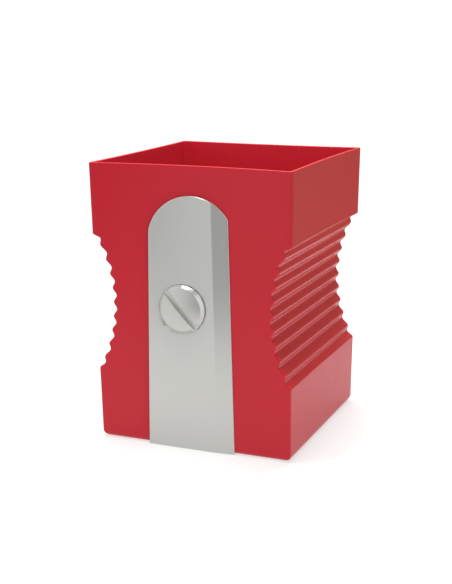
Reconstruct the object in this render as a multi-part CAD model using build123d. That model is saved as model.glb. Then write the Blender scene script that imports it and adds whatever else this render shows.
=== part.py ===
"""Open wastepaper bin in the shape of a giant wedge pencil sharpener.

One moulded tub with a narrow ribbed waist, a silver plate on its front face that
stands for the blade, a slotted screw head on the plate, and the push-on clips that
hold both from inside.  Millimetres, +Z up, the front faces -Y, and the origin is the
middle of the tub's base on the surface that it stands on.
"""
from build123d import *
from math import cos, pi, sqrt
import os

os.makedirs("parts", exist_ok=True)

# ---- Driving dimensions of the tub
HEIGHT = 295.0
RIM_WIDTH = 219.0
RIM_DEPTH = 232.5
BASE_WIDTH = 213.0
BASE_DEPTH = 213.5
WALL = 3.0
CORNER_RADIUS = 3.0
BOTTOM_RADIUS = 7.0
FRONT_BOW = 10.0          # how far the middle of each long thin rim has drawn inwards
BACK_BOW = 5.0
SIDE_BOW = 2.4

# ---- Ribbed waist, the same on the left and the right
RIB_COUNT = 9
RIB_PITCH = 14.85
RIB_SWING = 1.75          # half of the height from groove to crest
WAIST_Z = 150.0           # height of the middle rib
WAIST_HALF = 88.3         # half width over the rib crests at the narrowest place
WAIST_RADIUS = 148.0      # the crests lie on an arc of this radius
STEP_TOP = 4.8            # height of the rounded step up to the upper block
STEP_BOTTOM = 6.4         # height of the rounded step down to the lower block
RIB_SAMPLES = 8           # points on the rib curve for each rib
SLOPE_PROBE = 0.05        # short height over which the slope of the rib curve is taken

# ---- Base
FLOOR_RECESS = 2.0
FOOT_RIM = 14.0

# ---- Blade plate
PLATE_THICK = 3.0
PLATE_BOTTOM = 0.4
ARCH_X = 0.5
ARCH_Z = 217.7
ARCH_RADIUS = 47.5
LEFT_FOOT = 49.5          # left edge of the plate at the base, measured from the middle
LEFT_HEAD = 45.7          # left edge where the arch begins
RIGHT_FOOT = 46.4
RIGHT_HEAD = 40.4
ARCH_BLEND = 25.0         # radius between the straight left edge and the arch
BEVEL_WIDTH = 17.9
BEVEL_DROP = 2.0          # how much thinner the plate is at its ground edge

# ---- Pegs of the plate and their clips
PEG_RADIUS = 2.5
PEG_CLEARANCE = 0.2
PEG_REACH = 4.5           # past the inside of the tub's front wall
PEG_SPOTS = [(-32.0, 45.0), (14.0, 45.0), (-28.0, 225.0), (12.0, 225.0)]
CLIP_RADIUS = 7.0
CLIP_THICK = 1.0
CLIP_GAP = 0.4

# ---- Screw
SCREW_X = -9.0
SCREW_Z = 150.0
HEAD_RADIUS = 24.9
HEAD_HEIGHT = 5.0         # of the face's rim over the plate
HEAD_CHAMFER = 3.0        # 45 degree chamfer round the face
HEAD_DOME = 1.5           # how far the middle of the face stands over its rim
SEAT_DEPTH = 1.0          # of the round seat in the plate
SEAT_CLEARANCE = 0.6
SLOT_WIDTH = 6.3
SLOT_DEPTH = 2.4          # below the rim of the face
SLOT_ANGLE = 46.5         # the slot falls from upper left to lower right
SHANK_RADIUS = 6.0
SHANK_REACH = 7.0
SCREW_CLIP_RADIUS = 13.0
SCREW_CLIP_THICK = 1.2

FAR = 200.0               # beyond any wall
WAIST_HALF_SPAN = (RIB_COUNT - 1) / 2 * RIB_PITCH + RIB_PITCH / 2


def between(base_value, rim_value, z):
    """Value at height z of something that changes evenly from base to rim."""
    return base_value + (rim_value - base_value) * z / HEIGHT


def section(z, inset, front_extra=0.0):
    """Plan outline of the tub at height z, moved inwards by inset."""
    x = between(BASE_WIDTH, RIM_WIDTH, z) / 2 - inset
    back = between(BASE_DEPTH, RIM_DEPTH, z) / 2 - inset
    front = back + front_extra
    bow_share = z / HEIGHT
    middle_side = x - SIDE_BOW * bow_share
    middle_front = front - FRONT_BOW * bow_share
    middle_back = back - BACK_BOW * bow_share
    if bow_share == 0:
        outline = Polyline((-x, -front), (x, -front), (x, back), (-x, back), close=True)
    else:
        outline = Curve() + [
            ThreePointArc((-x, -front), (0, -middle_front), (x, -front)),
            ThreePointArc((x, -front), (middle_side, (back - front) / 2), (x, back)),
            ThreePointArc((x, back), (0, middle_back), (-x, back)),
            ThreePointArc((-x, back), (-middle_side, (back - front) / 2), (-x, -front)),
        ]
    return Pos(0, 0, z) * make_face(outline)


def block(inset, front_extra=0.0):
    """Solid drafted block from the base to the rim, straight below and bowed above."""
    return loft([section(0, inset, front_extra), section(HEIGHT, inset, front_extra)], ruled=True)


def crest_line(z):
    """Half width over the rib crests at height z."""
    rise = z - WAIST_Z
    return WAIST_HALF + WAIST_RADIUS - sqrt(WAIST_RADIUS**2 - rise**2)


def rib_line(z):
    """Half width of the ribbed wall at height z."""
    phase = 2 * pi * (z - WAIST_Z) / RIB_PITCH
    return crest_line(z) - RIB_SWING * (1 - cos(phase))


def rib_point(z, inset):
    """Point on the rib curve moved inwards by inset, square to the curve."""
    slope = (rib_line(z + SLOPE_PROBE) - rib_line(z - SLOPE_PROBE)) / (2 * SLOPE_PROBE)
    length = sqrt(1 + slope**2)
    return (rib_line(z) - inset / length, z + inset * slope / length)


def step_curve(groove, wall_x, wall_z):
    """Rounded step from the last groove to the straight wall, upright at both ends."""
    third = (wall_z - groove[1]) / 3
    return Bezier(groove, (groove[0], groove[1] + third), (wall_x, wall_z - third), (wall_x, wall_z))


def waist_cutter(inset):
    """What the right-hand waist takes away from the block; the left one mirrors it."""
    steps = RIB_COUNT * RIB_SAMPLES
    heights = [WAIST_Z + WAIST_HALF_SPAN * (2 * i / steps - 1) for i in range(steps + 1)]
    points = [rib_point(z, inset) for z in heights]
    low, high = points[0], points[-1]
    low_wall_z = WAIST_Z - WAIST_HALF_SPAN - STEP_BOTTOM - inset
    high_wall_z = WAIST_Z + WAIST_HALF_SPAN + STEP_TOP + inset
    low_wall_x = between(BASE_WIDTH, RIM_WIDTH, low_wall_z) / 2 - inset
    high_wall_x = between(BASE_WIDTH, RIM_WIDTH, high_wall_z) / 2 - inset
    outline = Curve() + [
        step_curve(low, low_wall_x, low_wall_z),
        Spline(points),
        step_curve(high, high_wall_x, high_wall_z),
        Polyline((high_wall_x, high_wall_z), (FAR, high_wall_z), (FAR, low_wall_z), (low_wall_x, low_wall_z)),
    ]
    right = extrude(Plane.XZ * make_face(outline), FAR, both=True)
    return right + mirror(right, Plane.YZ)


def wall_y(x, z, outside=0.0):
    """Y of the tub's front face at (x, z), or of a skin that lies outside it."""
    half_width = between(BASE_WIDTH, RIM_WIDTH, z) / 2
    bow = FRONT_BOW * z / HEIGHT * (1 - (x / half_width) ** 2)
    return -(between(BASE_DEPTH, RIM_DEPTH, z) / 2 - bow) - outside


def rod(x, z, radius, y_front, y_back):
    """Round bar along Y."""
    return Pos(x, y_front, z) * extrude(Plane.XZ * Circle(radius), -(y_back - y_front))


def tub():
    """One thin-walled moulding: block, waist, cavity, recessed base and the holes for pegs and shank."""
    outer = block(0)
    outer = fillet(outer.edges().group_by(Axis.Z)[0], BOTTOM_RADIUS)
    upright = [edge for edge in outer.edges() if abs((edge @ 1 - edge @ 0).Z) > HEIGHT / 2]
    outer = fillet(upright, CORNER_RADIUS)
    outer -= waist_cutter(0)
    cavity = block(WALL) - waist_cutter(WALL)
    floor_top = FLOOR_RECESS + WALL
    cavity -= Pos(0, 0, floor_top / 2) * Box(FAR * 2, FAR * 2, floor_top)
    recess = Box(BASE_WIDTH - 2 * FOOT_RIM, BASE_DEPTH - 2 * FOOT_RIM, 2 * FLOOR_RECESS)
    body = outer - cavity - recess
    for x, z in PEG_SPOTS:
        body -= rod(x, z, PEG_RADIUS + PEG_CLEARANCE, -FAR, 0)
    body -= rod(SCREW_X, SCREW_Z, SHANK_RADIUS + PEG_CLEARANCE, -FAR, 0)
    return body


def plate_outline():
    """Front view of the plate: a leaning left edge, a round head and a cut-off right edge."""
    arch_left = (-LEFT_HEAD, ARCH_Z + sqrt(ARCH_RADIUS**2 - (LEFT_HEAD + ARCH_X) ** 2))
    arch_right = (RIGHT_HEAD, ARCH_Z + sqrt(ARCH_RADIUS**2 - (RIGHT_HEAD - ARCH_X) ** 2))
    outline = Curve() + [
        Polyline(arch_right, (RIGHT_FOOT, PLATE_BOTTOM), (-LEFT_FOOT, PLATE_BOTTOM), arch_left),
        ThreePointArc(arch_left, (ARCH_X, ARCH_Z + ARCH_RADIUS), arch_right),
    ]
    face = make_face(outline)
    return fillet(face.vertices().sort_by_distance((*arch_left, 0))[0], ARCH_BLEND)


def bevel_cutter():
    """Long wedge that grinds the plate down towards its right edge."""
    height = ARCH_Z + ARCH_RADIUS
    lean = (RIGHT_FOOT - RIGHT_HEAD) / height
    foot_x = RIGHT_FOOT - BEVEL_WIDTH
    head_x = foot_x - lean * height
    reach = 2 * BEVEL_WIDTH

    def wedge(x, z):
        y = wall_y(x, z, PLATE_THICK)
        end_y = wall_y(x + reach, z, PLATE_THICK) + BEVEL_DROP * reach / BEVEL_WIDTH
        points = [(x, y), (x + reach, end_y), (x + reach, y - FAR / 2), (x, y - FAR / 2)]
        return Pos(0, 0, z) * make_face(Polyline(*points, close=True))

    return loft([wedge(foot_x, 0), wedge(head_x, height)], ruled=True)


def blade_plate():
    """Thin plate that lies on the front face, with four pegs on its back."""
    skin = block(0, PLATE_THICK) - block(0)
    front_half = extrude(Plane.XZ * plate_outline(), FAR)
    plate = (skin & front_half) - bevel_cutter()
    for x, z in PEG_SPOTS:
        plate += rod(x, z, PEG_RADIUS, wall_y(x, z, PLATE_THICK / 2), wall_y(x, z) + WALL + PEG_REACH)
    seat_y = wall_y(SCREW_X, SCREW_Z, PLATE_THICK - SEAT_DEPTH)
    plate -= rod(SCREW_X, SCREW_Z, HEAD_RADIUS + SEAT_CLEARANCE, -FAR, seat_y)
    plate -= rod(SCREW_X, SCREW_Z, SHANK_RADIUS + PEG_CLEARANCE, -FAR, 0)
    return plate


def blade_screw():
    """Slotted head with a chamfered edge and a domed face, on a plain shank."""
    top = SEAT_DEPTH + HEAD_HEIGHT
    flat = HEAD_RADIUS - HEAD_CHAMFER
    profile = Curve() + [
        Line((0, 0), (HEAD_RADIUS, 0)),
        Line((HEAD_RADIUS, 0), (HEAD_RADIUS, top - HEAD_CHAMFER)),
        Line((HEAD_RADIUS, top - HEAD_CHAMFER), (flat, top)),
        ThreePointArc((flat, top), (flat / 2, top + 0.75 * HEAD_DOME), (0, top + HEAD_DOME)),
        Line((0, top + HEAD_DOME), (0, 0)),
    ]
    head = revolve(Plane.XZ * make_face(profile), Axis.Z)
    slot_height = SLOT_DEPTH + HEAD_DOME
    slot_z = top + HEAD_DOME - slot_height / 2
    head -= Pos(0, 0, slot_z) * Rot(0, 0, -SLOT_ANGLE) * Box(4 * HEAD_RADIUS, SLOT_WIDTH, slot_height)
    shank_length = PLATE_THICK - SEAT_DEPTH + WALL + SHANK_REACH
    head += Pos(0, 0, -shank_length / 2) * Cylinder(SHANK_RADIUS, shank_length)
    seat_y = wall_y(SCREW_X, SCREW_Z, PLATE_THICK - SEAT_DEPTH)
    return Pos(SCREW_X, seat_y, SCREW_Z) * Rot(90, 0, 0) * head


def push_clip(x, z, radius, hole_radius, thickness):
    """Flat ring that grips a peg just inside the front wall."""
    y = wall_y(x, z) + WALL + CLIP_GAP
    return rod(x, z, radius, y, y + thickness) - rod(x, z, hole_radius, y, y + thickness)


def plate_clips():
    """The four rings on the plate's pegs."""
    return Compound([push_clip(x, z, CLIP_RADIUS, PEG_RADIUS, CLIP_THICK) for x, z in PEG_SPOTS])


def screw_clip():
    """The larger ring on the screw's shank."""
    return push_clip(SCREW_X, SCREW_Z, SCREW_CLIP_RADIUS, SHANK_RADIUS, SCREW_CLIP_THICK)


export_step(tub(), "parts/tub.step")
export_step(blade_plate(), "parts/blade_plate.step")
export_step(blade_screw(), "parts/blade_screw.step")
export_step(screw_clip(), "parts/screw_clip.step")
export_step(plate_clips(), "parts/plate_clips.step")
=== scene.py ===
import math

import bpy
from mathutils import Matrix, Vector


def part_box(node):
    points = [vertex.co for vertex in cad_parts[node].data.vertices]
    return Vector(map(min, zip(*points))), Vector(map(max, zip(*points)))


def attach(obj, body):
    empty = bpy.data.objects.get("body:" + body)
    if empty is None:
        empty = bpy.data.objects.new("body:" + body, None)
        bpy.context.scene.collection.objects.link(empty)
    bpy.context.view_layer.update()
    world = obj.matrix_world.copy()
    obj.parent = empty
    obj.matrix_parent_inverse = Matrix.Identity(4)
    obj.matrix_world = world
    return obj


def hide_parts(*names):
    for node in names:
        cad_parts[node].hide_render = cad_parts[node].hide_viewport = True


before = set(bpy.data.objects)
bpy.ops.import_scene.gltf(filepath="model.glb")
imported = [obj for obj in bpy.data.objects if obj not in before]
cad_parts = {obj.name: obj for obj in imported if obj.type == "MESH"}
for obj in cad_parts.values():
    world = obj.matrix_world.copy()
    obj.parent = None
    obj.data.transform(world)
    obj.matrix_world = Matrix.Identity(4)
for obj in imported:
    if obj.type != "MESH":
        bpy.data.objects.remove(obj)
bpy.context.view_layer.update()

TUB_LOW, TUB_HIGH = (Vector(corner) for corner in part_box("tub"))
QUARTER = math.pi / 2

# ---- Tub, in metres. The frame gives the outside, and the rest repeats the design's own sizes.
HEIGHT = TUB_HIGH.z
RIM_WIDTH = TUB_HIGH.x - TUB_LOW.x
RIM_FRONT = -TUB_LOW.y
RIM_BACK = TUB_HIGH.y
SHARP_RIM = 0.11625         # half depth of the rim before its corners are rounded
BASE_WIDTH = 0.213
BASE_HALF_DEPTH = 0.10675
WALL = 0.003
FRONT_BOW = 0.010 - (SHARP_RIM - RIM_FRONT)     # how far the rim is drawn in at the middle of a side
BACK_BOW = 0.005 - (SHARP_RIM - RIM_BACK)
SIDE_BOW = 0.0024
RIB_COUNT = 9
RIB_PITCH = 0.01485
RIB_SWING = 0.00175         # half the depth from crest to groove
WAIST_Z = 0.150
WAIST_HALF = 0.0883         # half width over the crests at the waist's middle
WAIST_RADIUS = 0.148        # of the hollow arc that the crests follow
STEP_TOP = 0.0048           # height of the step from the ribs to the upper block
STEP_BOTTOM = 0.0064
WAIST_HALF_SPAN = RIB_COUNT * RIB_PITCH / 2
CORNER_RADIUS = 0.0022      # of the upright edges, a little tighter than the CAD's
INNER_CORNER = 0.0016
FLAT_CORNER = 0.004         # corner radius of the rings across the recess and the floor
BOTTOM_RADIUS = 0.007       # of the outside edge round the base
FLOOR_FILLET = 0.004        # between the inside wall and the floor
FLOOR_RECESS = 0.002        # height of the recess under the base
FOOT_RIM = 0.014            # distance of the recess from the outside
RIM_EDGE = 0.0008           # small round on both edges of the rim

# ---- Blade plate
PLATE_THICK = 0.003
PLATE_BOTTOM = 0.0004       # height of its lower edge over the floor
ARCH_X = 0.0005             # centre and radius of the arched head
ARCH_Z = 0.2177
ARCH_RADIUS = 0.0475
LEFT_FOOT = 0.0495          # reach of the edges to the left and right, at the foot and under the arch
LEFT_HEAD = 0.0457
RIGHT_FOOT = 0.0464
RIGHT_HEAD = 0.0404
ARCH_BLEND = 0.0032         # half height of the soft corner between the left edge and the arch
BEVEL_WIDTH = 0.0179        # of the ground edge on the right
BEVEL_DROP = 0.0020         # how much thinner it is at the edge
MIN_BEVEL = 0.0012          # width that the ground edge keeps up to the arch's top
PLATE_EDGE = 0.0007         # round on the plate's own edges
PLATE_SINK = 0.000175       # how far the plate's back lies inside the tub's wall
CREASE = 0.0002             # half width of the line where the ground edge begins
PEG_RADIUS = 0.0025
PEG_START = 0.001           # depth in the wall at which a peg starts
PEG_REACH = 0.0045          # its length behind the wall
PEG_ROUND = 0.0003
SCREW_ROUND = 0.0004
CLIP_ROUND = 0.0002
PEG_SPOTS = [(-0.032, 0.045), (0.014, 0.045), (-0.028, 0.225), (0.012, 0.225)]
SCREW_X = -0.009
SCREW_Z = 0.150
SEAT_RADIUS = 0.0255        # of the round seat under the screw head
SEAT_DEPTH = 0.001
SEAT_CUT_LENGTH = 0.05

# ---- How finely the meshes are cut
FRONT_COLUMNS = 40
SIDE_COLUMNS = 36
CORNER_STEPS = 6
RIB_SAMPLES = 16
STEP_SAMPLES = 10
BLOCK_SAMPLES = 10
ROUND_SAMPLES = 7
EDGE_SAMPLES = 3
FLAT_SHARES = (0.2, 0.4, 0.6, 0.8)  # places of the rings across a flat bottom, from middle to edge
PLATE_ROWS = 26
BLEND_ROWS = 4
LOW_ARCH_ROWS = 4           # from the left corner up to the height of the right one
HIGH_ARCH_ROWS = 10
FLAT_COLUMNS = 14
BEVEL_COLUMNS = 4
LAST_ROW_TURN = math.radians(75)    # angle on the arch of the plate's highest row
SHARPEST_CORNER = 0.3       # least cosine of half a corner's turn for which the margin is kept even
SEAT_SIDES = 96
PEG_SIDES = 48


# ---------------------------------------------------------------- shape of the tub

def between(base_value, rim_value, z):
    """Value at height z of something that changes evenly from base to rim."""
    return base_value + (rim_value - base_value) * z / HEIGHT


def block_half(z):
    """Half width of the plain upper and lower blocks at height z."""
    return between(BASE_WIDTH, RIM_WIDTH, z) / 2


def rib_line(z):
    """Half width of the ribbed wall at height z."""
    rise = z - WAIST_Z
    crest = WAIST_HALF + WAIST_RADIUS - math.sqrt(WAIST_RADIUS**2 - rise**2)
    return crest - RIB_SWING * (1 - math.cos(2 * math.pi * rise / RIB_PITCH))


def rib_point(z, inset):
    """Point on the rib curve moved inwards by inset, square to the curve."""
    probe = 0.00005
    slope = (rib_line(z + probe) - rib_line(z - probe)) / (2 * probe)
    length = math.sqrt(1 + slope**2)
    return (rib_line(z) - inset / length, z + inset * slope / length)


def step_points(groove, wall):
    """Rounded step from the end groove to the wall: (half width, height, share of the wall's bow)."""
    for i in range(1, STEP_SAMPLES):
        t = i / STEP_SAMPLES
        ease = t * t * (3 - 2 * t)
        yield (groove[0] + (wall[0] - groove[0]) * ease, groove[1] + (wall[1] - groove[1]) * t, ease)


def block_points(low_z, high_z, inset):
    """Even steps up a block's wall: (half width, height, share of the wall's bow)."""
    for i in range(BLOCK_SAMPLES + 1):
        z = low_z + (high_z - low_z) * i / BLOCK_SAMPLES
        yield (block_half(z) - inset, z, 1.0)


def side_profile(inset, low_z, high_z):
    """The side wall from low_z to high_z as (half width, height, share of the wall's bow)."""
    count = RIB_COUNT * RIB_SAMPLES
    ribs = [rib_point(WAIST_Z + WAIST_HALF_SPAN * (2 * i / count - 1), inset) for i in range(count + 1)]
    low_wall_z = WAIST_Z - WAIST_HALF_SPAN - STEP_BOTTOM - inset
    high_wall_z = WAIST_Z + WAIST_HALF_SPAN + STEP_TOP + inset
    profile = list(block_points(low_z, low_wall_z, inset))
    profile += reversed(list(step_points(ribs[0], (block_half(low_wall_z) - inset, low_wall_z))))
    profile += [(x, z, 0.0) for x, z in ribs]
    profile += step_points(ribs[-1], (block_half(high_wall_z) - inset, high_wall_z))
    profile += block_points(high_wall_z, high_z, inset)
    return profile


def front_y(x, z, inset=0.0):
    """Y of the front wall at (x, z), moved inwards by inset."""
    bow = FRONT_BOW * z / HEIGHT * (1 - (x / block_half(z)) ** 2)
    return -(between(BASE_HALF_DEPTH, RIM_FRONT, z) - bow - inset)


def back_y(x, z, inset=0.0):
    """Y of the back wall at (x, z), moved inwards by inset."""
    bow = BACK_BOW * z / HEIGHT * (1 - (x / block_half(z)) ** 2)
    return between(BASE_HALF_DEPTH, RIM_BACK, z) - bow - inset


def ring(half_width, z, bow_share, inset, radius):
    """One closed level of the tub: front, right, back and left sides with round corners between."""
    flat = half_width - radius
    front = front_y(flat, z, inset)
    back = back_y(flat, z, inset)
    side_bow = SIDE_BOW * z / HEIGHT * bow_share

    def side_x(t):
        return half_width - side_bow * (1 - (2 * t - 1) ** 2)

    def corner(x, y, start):
        angles = [start + QUARTER * i / CORNER_STEPS for i in range(1, CORNER_STEPS)]
        return [(x + radius * math.cos(a), y + radius * math.sin(a), z) for a in angles]

    across = [i / FRONT_COLUMNS for i in range(FRONT_COLUMNS + 1)]
    along = [i / SIDE_COLUMNS for i in range(SIDE_COLUMNS + 1)]
    span = back - front - 2 * radius
    points = [(flat * (2 * t - 1), front_y(flat * (2 * t - 1), z, inset), z) for t in across]
    points += corner(flat, front + radius, -QUARTER)
    points += [(side_x(t), front + radius + span * t, z) for t in along]
    points += corner(flat, back - radius, 0)
    points += [(flat * (1 - 2 * t), back_y(flat * (1 - 2 * t), z, inset), z) for t in across]
    points += corner(-flat, back - radius, QUARTER)
    points += [(-side_x(t), back - radius - span * t, z) for t in along]
    points += corner(-flat, front + radius, math.pi)
    return points


def flat_ring(shrink, z):
    """A level of the recess or the floor, drawn in evenly by shrink."""
    return ring(BASE_WIDTH / 2 - shrink, z, 1.0, shrink, FLAT_CORNER)


def flat_rings(edge, z):
    """Levels across a flat bottom from near its middle towards its edge, which is drawn in by edge."""
    return [flat_ring(BASE_WIDTH / 2 - share * (BASE_WIDTH / 2 - edge), z) for share in FLAT_SHARES]


def wall_ring(z, inset, radius):
    """A level of a plain wall at height z, moved inwards by inset."""
    return ring(block_half(z) - inset, z, 1.0, inset, radius)


def quarter_round(radius, samples):
    """A quarter round as (distance in from its wall, distance from its flat), from wall to flat."""
    turns = [QUARTER * i / samples for i in range(samples + 1)]
    return [(radius * (1 - math.cos(turn)), radius * (1 - math.sin(turn))) for turn in turns]


def tub_rings():
    """Every level of the tub in order: recess, foot, outside wall, rim, inside wall, floor."""
    rings = flat_rings(FOOT_RIM, FLOOR_RECESS)
    rings += [flat_ring(FOOT_RIM, FLOOR_RECESS), flat_ring(FOOT_RIM, 0)]
    for shrink, z in reversed(quarter_round(BOTTOM_RADIUS, ROUND_SAMPLES)):
        rings.append(wall_ring(z, shrink, CORNER_RADIUS))
    for half_width, z, share in side_profile(0, BOTTOM_RADIUS, HEIGHT - RIM_EDGE)[1:-1]:
        rings.append(ring(half_width, z, share, 0, CORNER_RADIUS))
    outer_edge = quarter_round(RIM_EDGE, EDGE_SAMPLES)
    inner_edge = [(WALL - inset, drop) for inset, drop in reversed(outer_edge)]
    for inset, drop in outer_edge + inner_edge:
        radius = CORNER_RADIUS + (INNER_CORNER - CORNER_RADIUS) * inset / WALL
        rings.append(wall_ring(HEIGHT - drop, inset, radius))
    floor_top = FLOOR_RECESS + WALL
    inside = side_profile(WALL, floor_top + FLOOR_FILLET, HEIGHT - RIM_EDGE)
    for half_width, z, share in reversed(inside[:-1]):
        rings.append(ring(half_width, z, share, WALL, INNER_CORNER))
    for inset, rise in quarter_round(FLOOR_FILLET, ROUND_SAMPLES)[1:]:
        rings.append(wall_ring(floor_top + rise, WALL + inset, INNER_CORNER))
    rings += reversed(flat_rings(WALL + FLOOR_FILLET, floor_top))
    return rings


def mesh_from_rings(name, rings):
    """Closed mesh through rings of the same number of points, with a fan of faces over each end."""
    mesh = bpy.data.meshes.new(name)
    count = len(rings[0])
    points = [p for level in rings for p in level]
    first, last = 0, (len(rings) - 1) * count
    faces = []
    for low in range(first, last, count):
        high = low + count
        for i in range(count):
            j = (i + 1) % count
            faces.append((low + i, low + j, high + j, high + i))
    for start, order in ((first, -1), (last, 1)):
        middle = len(points)
        points.append(sum((Vector(p) for p in points[start:start + count]), Vector()) / count)
        for i in range(count):
            faces.append((start + i, start + (i + 1) % count, middle)[::order])
    mesh.from_pydata(points, [], faces)
    mesh.update()
    piece = bpy.data.objects.new(name, mesh)
    bpy.context.scene.collection.objects.link(piece)
    return piece


# ---------------------------------------------------------------- shape of the plate

def arch_x(z, side):
    """X on the arch at height z, left for side -1 and right for side 1."""
    return ARCH_X + side * math.sqrt(ARCH_RADIUS**2 - (z - ARCH_Z) ** 2)


def arch_z(x):
    """Height of the arch at x."""
    return ARCH_Z + math.sqrt(ARCH_RADIUS**2 - (x - ARCH_X) ** 2)


def lean(foot, head, head_z, z):
    """X at height z on a straight edge from the plate's foot to its head."""
    return foot + (head - foot) * (z - PLATE_BOTTOM) / (head_z - PLATE_BOTTOM)


LEFT_HEAD_Z = arch_z(-LEFT_HEAD)
RIGHT_HEAD_Z = arch_z(RIGHT_HEAD)
BLEND_LOW = LEFT_HEAD_Z - ARCH_BLEND
BLEND_HIGH = LEFT_HEAD_Z + ARCH_BLEND
ARCH_TOP = ARCH_Z + ARCH_RADIUS


def left_edge(z):
    """X of the left edge: straight, then a soft corner, then the arch."""
    if z <= BLEND_LOW:
        return lean(-LEFT_FOOT, -LEFT_HEAD, LEFT_HEAD_Z, z)
    if z >= BLEND_HIGH:
        return arch_x(z, -1)
    t = (z - BLEND_LOW) / (BLEND_HIGH - BLEND_LOW)
    start = lean(-LEFT_FOOT, -LEFT_HEAD, LEFT_HEAD_Z, BLEND_LOW)
    return (1 - t) ** 2 * start - 2 * t * (1 - t) * LEFT_HEAD + t * t * arch_x(BLEND_HIGH, -1)


def right_edge(z):
    """X of the right edge: straight, then the arch."""
    if z <= RIGHT_HEAD_Z:
        return lean(RIGHT_FOOT, RIGHT_HEAD, RIGHT_HEAD_Z, z)
    return arch_x(z, 1)


def crease_x(z):
    """X of the line where the plate begins to thin towards its right edge."""
    return RIGHT_FOOT - BEVEL_WIDTH - (RIGHT_FOOT - RIGHT_HEAD) * z / ARCH_TOP


def plate_y(x, z):
    """Y of the plate's front at (x, z)."""
    thinner = BEVEL_DROP * max(0.0, x - crease_x(z)) / BEVEL_WIDTH
    return front_y(x, z) - PLATE_THICK + thinner


def steps(start, end, count):
    """Evenly spaced values from start up to, but without, end."""
    return [start + (end - start) * i / count for i in range(count)]


def plate_heights():
    """Heights of the rows: up the straight edges, round the soft corner, then even turns of the arch."""
    heights = steps(PLATE_BOTTOM, BLEND_LOW, PLATE_ROWS) + steps(BLEND_LOW, BLEND_HIGH, BLEND_ROWS)
    first = math.asin((BLEND_HIGH - ARCH_Z) / ARCH_RADIUS)
    corner = math.asin((RIGHT_HEAD_Z - ARCH_Z) / ARCH_RADIUS)
    turns = steps(first, corner, LOW_ARCH_ROWS) + steps(corner, LAST_ROW_TURN, HIGH_ARCH_ROWS)
    turns.append(LAST_ROW_TURN)
    return heights + [ARCH_Z + ARCH_RADIUS * math.sin(turn) for turn in turns]


def plate_row(z, last):
    """Points (x, z) across the plate at height z; the last row follows the arch instead."""
    left, right = left_edge(z), right_edge(z)
    crease = min(crease_x(z), right - MIN_BEVEL)
    xs = [left + (crease - CREASE - left) * i / FLAT_COLUMNS for i in range(FLAT_COLUMNS + 1)]
    xs += [crease + CREASE + (right - crease - CREASE) * i / BEVEL_COLUMNS for i in range(BEVEL_COLUMNS + 1)]
    return [(x, arch_z(x) if last else z) for x in xs]


def perimeter(grid):
    """Indices (row, column) round the edge of a grid, anticlockwise from the lower left."""
    rows, columns = len(grid), len(grid[0])
    loop = [(0, j) for j in range(columns)]
    loop += [(i, columns - 1) for i in range(1, rows)]
    loop += [(rows - 1, j) for j in range(columns - 2, -1, -1)]
    loop += [(i, 0) for i in range(rows - 2, 0, -1)]
    return loop


def inward(points, i):
    """Direction into the outline at its point i, long enough to keep an even margin round corners."""
    here = Vector(points[i])
    before = (here - Vector(points[i - 1])).normalized()
    after = (Vector(points[(i + 1) % len(points)]) - here).normalized()
    normals = [Vector((-step.y, step.x)) for step in (before, after)]
    middle = (normals[0] + normals[1]).normalized()
    return middle / max(SHARPEST_CORNER, middle.dot(normals[0]))


def plate_mesh():
    """Closed plate: front with rounded edges, sides, and a back that lies in the tub's wall."""
    heights = plate_heights()
    grid = [plate_row(z, z == heights[-1]) for z in heights]
    loop = perimeter(grid)
    outline = [grid[i][j] for i, j in loop]
    points, faces = [], []

    def back_of_plate(x, z):
        return front_y(x, z) + PLATE_SINK

    def add(x, y, z):
        points.append((x, y, z))
        return len(points) - 1

    def fill(edge, surface, order):
        """Covers the inside of an edge ring with the grid's faces on a surface y(x, z)."""
        index = {spot: edge[k] for k, spot in enumerate(loop)}
        for i in range(1, len(grid) - 1):
            for j in range(1, len(grid[0]) - 1):
                x, z = grid[i][j]
                index[(i, j)] = add(x, surface(x, z), z)
        for i in range(len(grid) - 1):
            for j in range(len(grid[0]) - 1):
                face = (index[(i, j)], index[(i, j + 1)], index[(i + 1, j + 1)], index[(i + 1, j)])
                faces.append(face[::order])

    rings = [[add(x, back_of_plate(x, z), z) for x, z in outline]]
    for shift, rise in quarter_round(PLATE_EDGE, EDGE_SAMPLES):
        level = []
        for i, (x, z) in enumerate(outline):
            inner = Vector((x, z)) + inward(outline, i) * shift
            level.append(add(inner.x, plate_y(inner.x, inner.y) + rise, inner.y))
        rings.append(level)
    for low, high in zip(rings, rings[1:]):
        for i in range(len(loop)):
            j = (i + 1) % len(loop)
            faces.append((low[i], low[j], high[j], high[i]))
    fill(rings[-1], plate_y, 1)
    fill(rings[0], back_of_plate, -1)
    mesh = bpy.data.meshes.new("blade_plate_skin")
    mesh.from_pydata(points, [], faces)
    mesh.update()
    return mesh


def rod(name, x, z, radius, y_front, y_back, sides):
    """Closed round bar along Y."""
    bpy.ops.mesh.primitive_cylinder_add(vertices=sides, radius=radius, depth=y_back - y_front)
    piece = bpy.context.object
    piece.name = name
    place = Matrix.Translation((x, (y_front + y_back) / 2, z))
    piece.data.transform(place @ Matrix.Rotation(QUARTER, 4, "X"))
    return piece


def cut_seat(piece):
    """Sinks the round seat of the screw head into the plate."""
    seat_y = front_y(SCREW_X, SCREW_Z) - PLATE_THICK + SEAT_DEPTH
    cutter = rod("seat_cutter", SCREW_X, SCREW_Z, SEAT_RADIUS, seat_y - SEAT_CUT_LENGTH, seat_y, SEAT_SIDES)
    boolean = piece.modifiers.new("seat", "BOOLEAN")
    boolean.operation = "DIFFERENCE"
    boolean.solver = "EXACT"
    boolean.object = cutter
    graph = bpy.context.evaluated_depsgraph_get()
    cut = bpy.data.meshes.new_from_object(piece.evaluated_get(graph))
    piece.modifiers.clear()
    piece.data = cut
    bpy.data.objects.remove(cutter)


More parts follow.
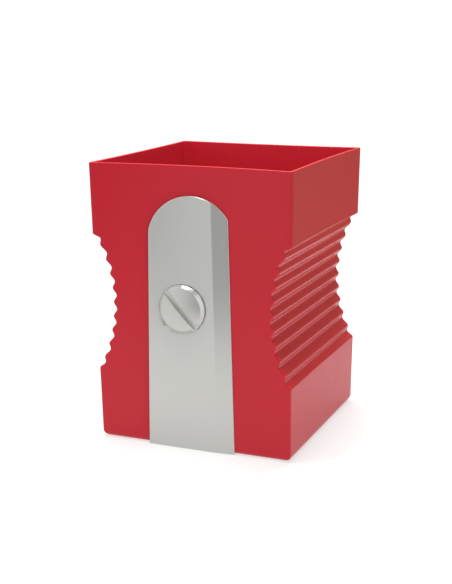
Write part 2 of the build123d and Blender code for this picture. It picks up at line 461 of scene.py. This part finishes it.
def smooth(piece):
    """Smooth shading in which large flat faces stay flat."""
    for polygon in piece.data.polygons:
        polygon.use_smooth = True
    weighted = piece.modifiers.new("flat_faces_stay_flat", "WEIGHTED_NORMAL")
    weighted.mode = "FACE_AREA"
    weighted.weight = 50


# ---------------------------------------------------------------- materials

RED = (0.52, 0.0195, 0.033)
RED_DARK = (0.51, 0.0185, 0.032)
RED_LIGHT = (0.53, 0.0205, 0.034)
SILVER = (0.52, 0.52, 0.50)
SILVER_SHADE = 0.98         # darkest tone of the lacquer, as a share of its colour
STEEL = (0.42, 0.42, 0.43)


def principled(name, colour, roughness, metallic=0.0, specular=0.5):
    """New material with its main shader; returns the material, its tree and the shader."""
    material = bpy.data.materials.new(name)
    material.use_nodes = True
    tree = material.node_tree
    shader = tree.nodes["Principled BSDF"]
    shader.inputs["Base Color"].default_value = (*colour, 1)
    shader.inputs["Roughness"].default_value = roughness
    shader.inputs["Metallic"].default_value = metallic
    shader.inputs["Specular IOR Level"].default_value = specular
    return material, tree, shader


def noise(tree, scale, detail=3.0):
    """Noise in the object's own metres, about scale lumps to the metre."""
    place = tree.nodes.new("ShaderNodeTexCoord")
    texture = tree.nodes.new("ShaderNodeTexNoise")
    texture.inputs["Scale"].default_value = scale
    texture.inputs["Detail"].default_value = detail
    tree.links.new(place.outputs["Object"], texture.inputs["Vector"])
    return texture.outputs["Fac"]


def spread(tree, value, low, high):
    """Maps a 0 to 1 value to low to high."""
    node = tree.nodes.new("ShaderNodeMapRange")
    node.inputs["To Min"].default_value = low
    node.inputs["To Max"].default_value = high
    tree.links.new(value, node.inputs["Value"])
    return node.outputs["Result"]


def tint(tree, value, dark, light):
    """Colour that runs from dark to light with a 0 to 1 value."""
    node = tree.nodes.new("ShaderNodeMix")
    node.data_type = "RGBA"
    node.inputs["A"].default_value = (*dark, 1)
    node.inputs["B"].default_value = (*light, 1)
    tree.links.new(value, node.inputs["Factor"])
    return node.outputs["Result"]


def bump(tree, shader, value, distance, strength):
    """Fine relief of the given depth in metres."""
    node = tree.nodes.new("ShaderNodeBump")
    node.inputs["Distance"].default_value = distance
    node.inputs["Strength"].default_value = strength
    tree.links.new(value, node.inputs["Height"])
    tree.links.new(node.outputs["Normal"], shader.inputs["Normal"])


def red_plastic():
    """Self-coloured moulded plastic: slow changes of tone and gloss, and a very fine grain."""
    material, tree, shader = principled("red_plastic", RED, roughness=0.3, specular=0.18)
    colour = tint(tree, noise(tree, scale=9.0), RED_DARK, RED_LIGHT)
    tree.links.new(colour, shader.inputs["Base Color"])
    gloss = spread(tree, noise(tree, scale=55.0), low=0.26, high=0.32)
    tree.links.new(gloss, shader.inputs["Roughness"])
    bump(tree, shader, noise(tree, scale=900.0, detail=2.0), distance=0.00003, strength=0.25)
    return material


def silver_lacquer(name, metallic):
    """Even satin silver with the slightest change of tone."""
    material, tree, shader = principled(name, SILVER, roughness=0.28, metallic=metallic)
    dark = tuple(c * SILVER_SHADE for c in SILVER)
    tree.links.new(tint(tree, noise(tree, scale=14.0), dark, SILVER), shader.inputs["Base Color"])
    return material


def clip_steel():
    """Plain spring steel with uneven gloss."""
    material, tree, shader = principled("clip_steel", STEEL, roughness=0.35, metallic=1.0)
    gloss = spread(tree, noise(tree, scale=300.0), low=0.28, high=0.42)
    tree.links.new(gloss, shader.inputs["Roughness"])
    return material


def wear(piece, material):
    """The piece shows one material all over."""
    piece.data.materials.clear()
    piece.data.materials.append(material)


def round_edges(piece, width):
    """Small round on every crisp edge of a piece, after joining the points that lie on each other."""
    weld = piece.modifiers.new("weld", "WELD")
    weld.merge_threshold = 0.000001
    bevel = piece.modifiers.new("edge_round", "BEVEL")
    bevel.width = width
    bevel.segments = 3
    bevel.limit_method = "ANGLE"
    bevel.angle_limit = math.radians(30)
    bevel.harden_normals = True


# ---------------------------------------------------------------- pieces

def build_tub(material):
    """The moulded tub."""
    piece = mesh_from_rings("tub_shell", tub_rings())
    smooth(piece)
    wear(piece, material)
    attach(piece, "root")
    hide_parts("tub")


def build_plate(material):
    """The blade plate and the four pegs behind it, which pass through the tub's wall."""
    piece = bpy.data.objects.new("blade_plate_skin", plate_mesh())
    bpy.context.scene.collection.objects.link(piece)
    cut_seat(piece)
    pegs = []
    for number, (x, z) in enumerate(PEG_SPOTS, 1):
        wall = front_y(x, z)
        tip = wall + WALL + PEG_REACH
        peg = rod(f"plate_peg_{number}", x, z, PEG_RADIUS, wall + PEG_START, tip, PEG_SIDES)
        round_edges(peg, PEG_ROUND)
        pegs.append(peg)
    smooth(piece)
    for part in (piece, *pegs):
        wear(part, material)
        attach(part, "root")
        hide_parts("blade_plate")


def dress_cad_nodes(screw_material, clip_material):
    """Materials and small edge rounds for the CAD pieces that are shown as they are."""
    for node, material, width in (
        ("blade_screw", screw_material, SCREW_ROUND),
        ("screw_clip", clip_material, CLIP_ROUND),
        ("plate_clips", clip_material, CLIP_ROUND),
    ):
        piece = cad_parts[node]
        for slot in piece.material_slots:
            slot.material = material
        round_edges(piece, width)


# ---------------------------------------------------------------- studio

CAMERA_AZIMUTH = math.radians(22.40)    # from the front towards the right
CAMERA_ELEVATION = math.radians(13.43)
CAMERA_ROLL = math.radians(-0.22)
CAMERA_DISTANCE = 1.2450
AIM_HEIGHT = 0.1418         # point on the bin's axis that the camera turns round
SENSOR = 36                 # width of the sensor in millimetres
LENS = 69.966               # focal length in millimetres
SHIFT_X = -0.010274         # share of the picture's long side
SHIFT_Y = 0.003767
NEAREST = 0.05
FARTHEST = 60

FLOOR_RADIUS = 0.62
FLOOR_SIDES = 256
FLOOR_TONE = (0.34, 0.34, 0.34)
FLOOR_GLOW = 0.60           # light table: the floor gives part of its own light
FLOOR_GLOW_TONE = (1.0, 1.0, 0.99)

WHITE = (1.0, 1.0, 1.0)
WARM = (1.0, 0.84, 0.58)
SKY_SEEN = 1.15             # brightness of the backdrop itself
# Bright parts of the surroundings: where each lies, the cosines between which it fades in, its brightness.
LEFT_AXIS = (-0.94, -0.34, 0.0)
LEFT_EDGE = (0.54, 0.66)
SKY_LEFT = 1.04
BACK_AXIS = (-0.2, 1.0, 0.1)
BACK_EDGE = (0.3, 0.8)
SKY_BACK = 0.42
RIGHT_AXIS = (0.88, -0.45, 0.15)
RIGHT_EDGE = (0.75, 0.82)
SKY_RIGHT = 1.45

SOFTBOXES = (               # name, place, width and height, watts
    ("top", (-0.1, 0.0, 1.6), (1.0, 0.7), 40),
    ("top_back", (-0.1, 0.8, 1.4), (1.0, 1.0), 11),
    ("front_right", (0.35, -1.35, 0.7), (0.4, 0.4), 1.5),
)


def add_camera():
    """Camera on a circle round the bin's axis, looking at AIM_HEIGHT."""
    data = bpy.data.cameras.new("camera")
    data.sensor_width = SENSOR
    data.lens = LENS
    data.shift_x = SHIFT_X
    data.shift_y = SHIFT_Y
    data.clip_start = NEAREST
    data.clip_end = FARTHEST
    camera = bpy.data.objects.new("camera", data)
    back = Vector((
        math.sin(CAMERA_AZIMUTH) * math.cos(CAMERA_ELEVATION),
        -math.cos(CAMERA_AZIMUTH) * math.cos(CAMERA_ELEVATION),
        math.sin(CAMERA_ELEVATION),
    ))
    turn = (-back).to_track_quat("-Z", "Y").to_matrix().to_4x4()
    place = Matrix.Translation(Vector((0, 0, AIM_HEIGHT)) + back * CAMERA_DISTANCE)
    camera.matrix_world = place @ turn @ Matrix.Rotation(CAMERA_ROLL, 4, "Z")
    bpy.context.scene.collection.objects.link(camera)
    bpy.context.scene.camera = camera


def add_floor():
    """Round white table top; beyond it the studio's pale backdrop goes on."""
    bpy.ops.mesh.primitive_circle_add(vertices=FLOOR_SIDES, radius=FLOOR_RADIUS, fill_type="NGON")
    floor = bpy.context.object
    floor.name = "floor"
    material, _, shader = principled("floor_white", FLOOR_TONE, roughness=0.7, specular=0.1)
    shader.inputs["Emission Color"].default_value = (*FLOOR_GLOW_TONE, 1)
    shader.inputs["Emission Strength"].default_value = FLOOR_GLOW
    wear(floor, material)


def add_softbox(name, place, size, power):
    """Rectangular lamp that points at the middle of the bin."""
    data = bpy.data.lights.new(name, "AREA")
    data.shape = "RECTANGLE"
    data.size, data.size_y = size
    data.energy = power
    light = bpy.data.objects.new(name, data)
    light.location = place
    aim = Vector((0, 0, HEIGHT / 2)) - Vector(place)
    light.rotation_euler = aim.to_track_quat("-Z", "Y").to_euler()
    light.visible_camera = False
    bpy.context.scene.collection.objects.link(light)


def lobe(tree, direction, axis, low, high):
    """0 to 1 mask on the sky that rises smoothly towards an axis."""
    dot = tree.nodes.new("ShaderNodeVectorMath")
    dot.operation = "DOT_PRODUCT"
    dot.inputs[1].default_value = Vector(axis).normalized()
    tree.links.new(direction, dot.inputs[0])
    rise = tree.nodes.new("ShaderNodeMapRange")
    rise.interpolation_type = "SMOOTHSTEP"
    rise.inputs["From Min"].default_value = low
    rise.inputs["From Max"].default_value = high
    tree.links.new(dot.outputs["Value"], rise.inputs["Value"])
    return rise.outputs["Result"]


def plus(tree, first, second):
    """Sum of two values."""
    node = tree.nodes.new("ShaderNodeMath")
    tree.links.new(first, node.inputs[0])
    tree.links.new(second, node.inputs[1])
    return node.outputs["Value"]


def add_world():
    """White backdrop for the camera; what lights the bin is bright on the left and right and dim behind."""
    world = bpy.data.worlds.new("studio")
    world.use_nodes = True
    tree = world.node_tree
    background = tree.nodes["Background"]
    direction = tree.nodes.new("ShaderNodeTexCoord").outputs["Generated"]
    left = spread(tree, lobe(tree, direction, LEFT_AXIS, *LEFT_EDGE), 0, SKY_LEFT)
    behind = lobe(tree, direction, BACK_AXIS, *BACK_EDGE)
    back = spread(tree, behind, 0, SKY_BACK)
    right = spread(tree, lobe(tree, direction, RIGHT_AXIS, *RIGHT_EDGE), 0, SKY_RIGHT)
    level = plus(tree, plus(tree, left, back), right)
    seen = tree.nodes.new("ShaderNodeLightPath").outputs["Is Camera Ray"]
    choose = tree.nodes.new("ShaderNodeMix")
    tree.links.new(seen, choose.inputs["Factor"])
    tree.links.new(level, choose.inputs["A"])
    choose.inputs["B"].default_value = SKY_SEEN
    tree.links.new(choose.outputs["Result"], background.inputs["Strength"])
    whiten = tree.nodes.new("ShaderNodeMix")
    whiten.data_type = "RGBA"
    tree.links.new(seen, whiten.inputs["Factor"])
    tree.links.new(tint(tree, behind, WHITE, WARM), whiten.inputs["A"])
    whiten.inputs["B"].default_value = (*WHITE, 1)
    tree.links.new(whiten.outputs["Result"], background.inputs["Color"])
    bpy.context.scene.world = world


def build_studio():
    """Camera, floor, surroundings and lamps."""
    add_camera()
    add_floor()
    add_world()
    for name, place, size, power in SOFTBOXES:
        add_softbox(name, place, size, power)
    bpy.context.scene.view_settings.view_transform = "Standard"


build_tub(red_plastic())
build_plate(silver_lacquer("silver_plate", metallic=0.6))
dress_cad_nodes(silver_lacquer("silver_screw", metallic=0.45), clip_steel())
build_studio()
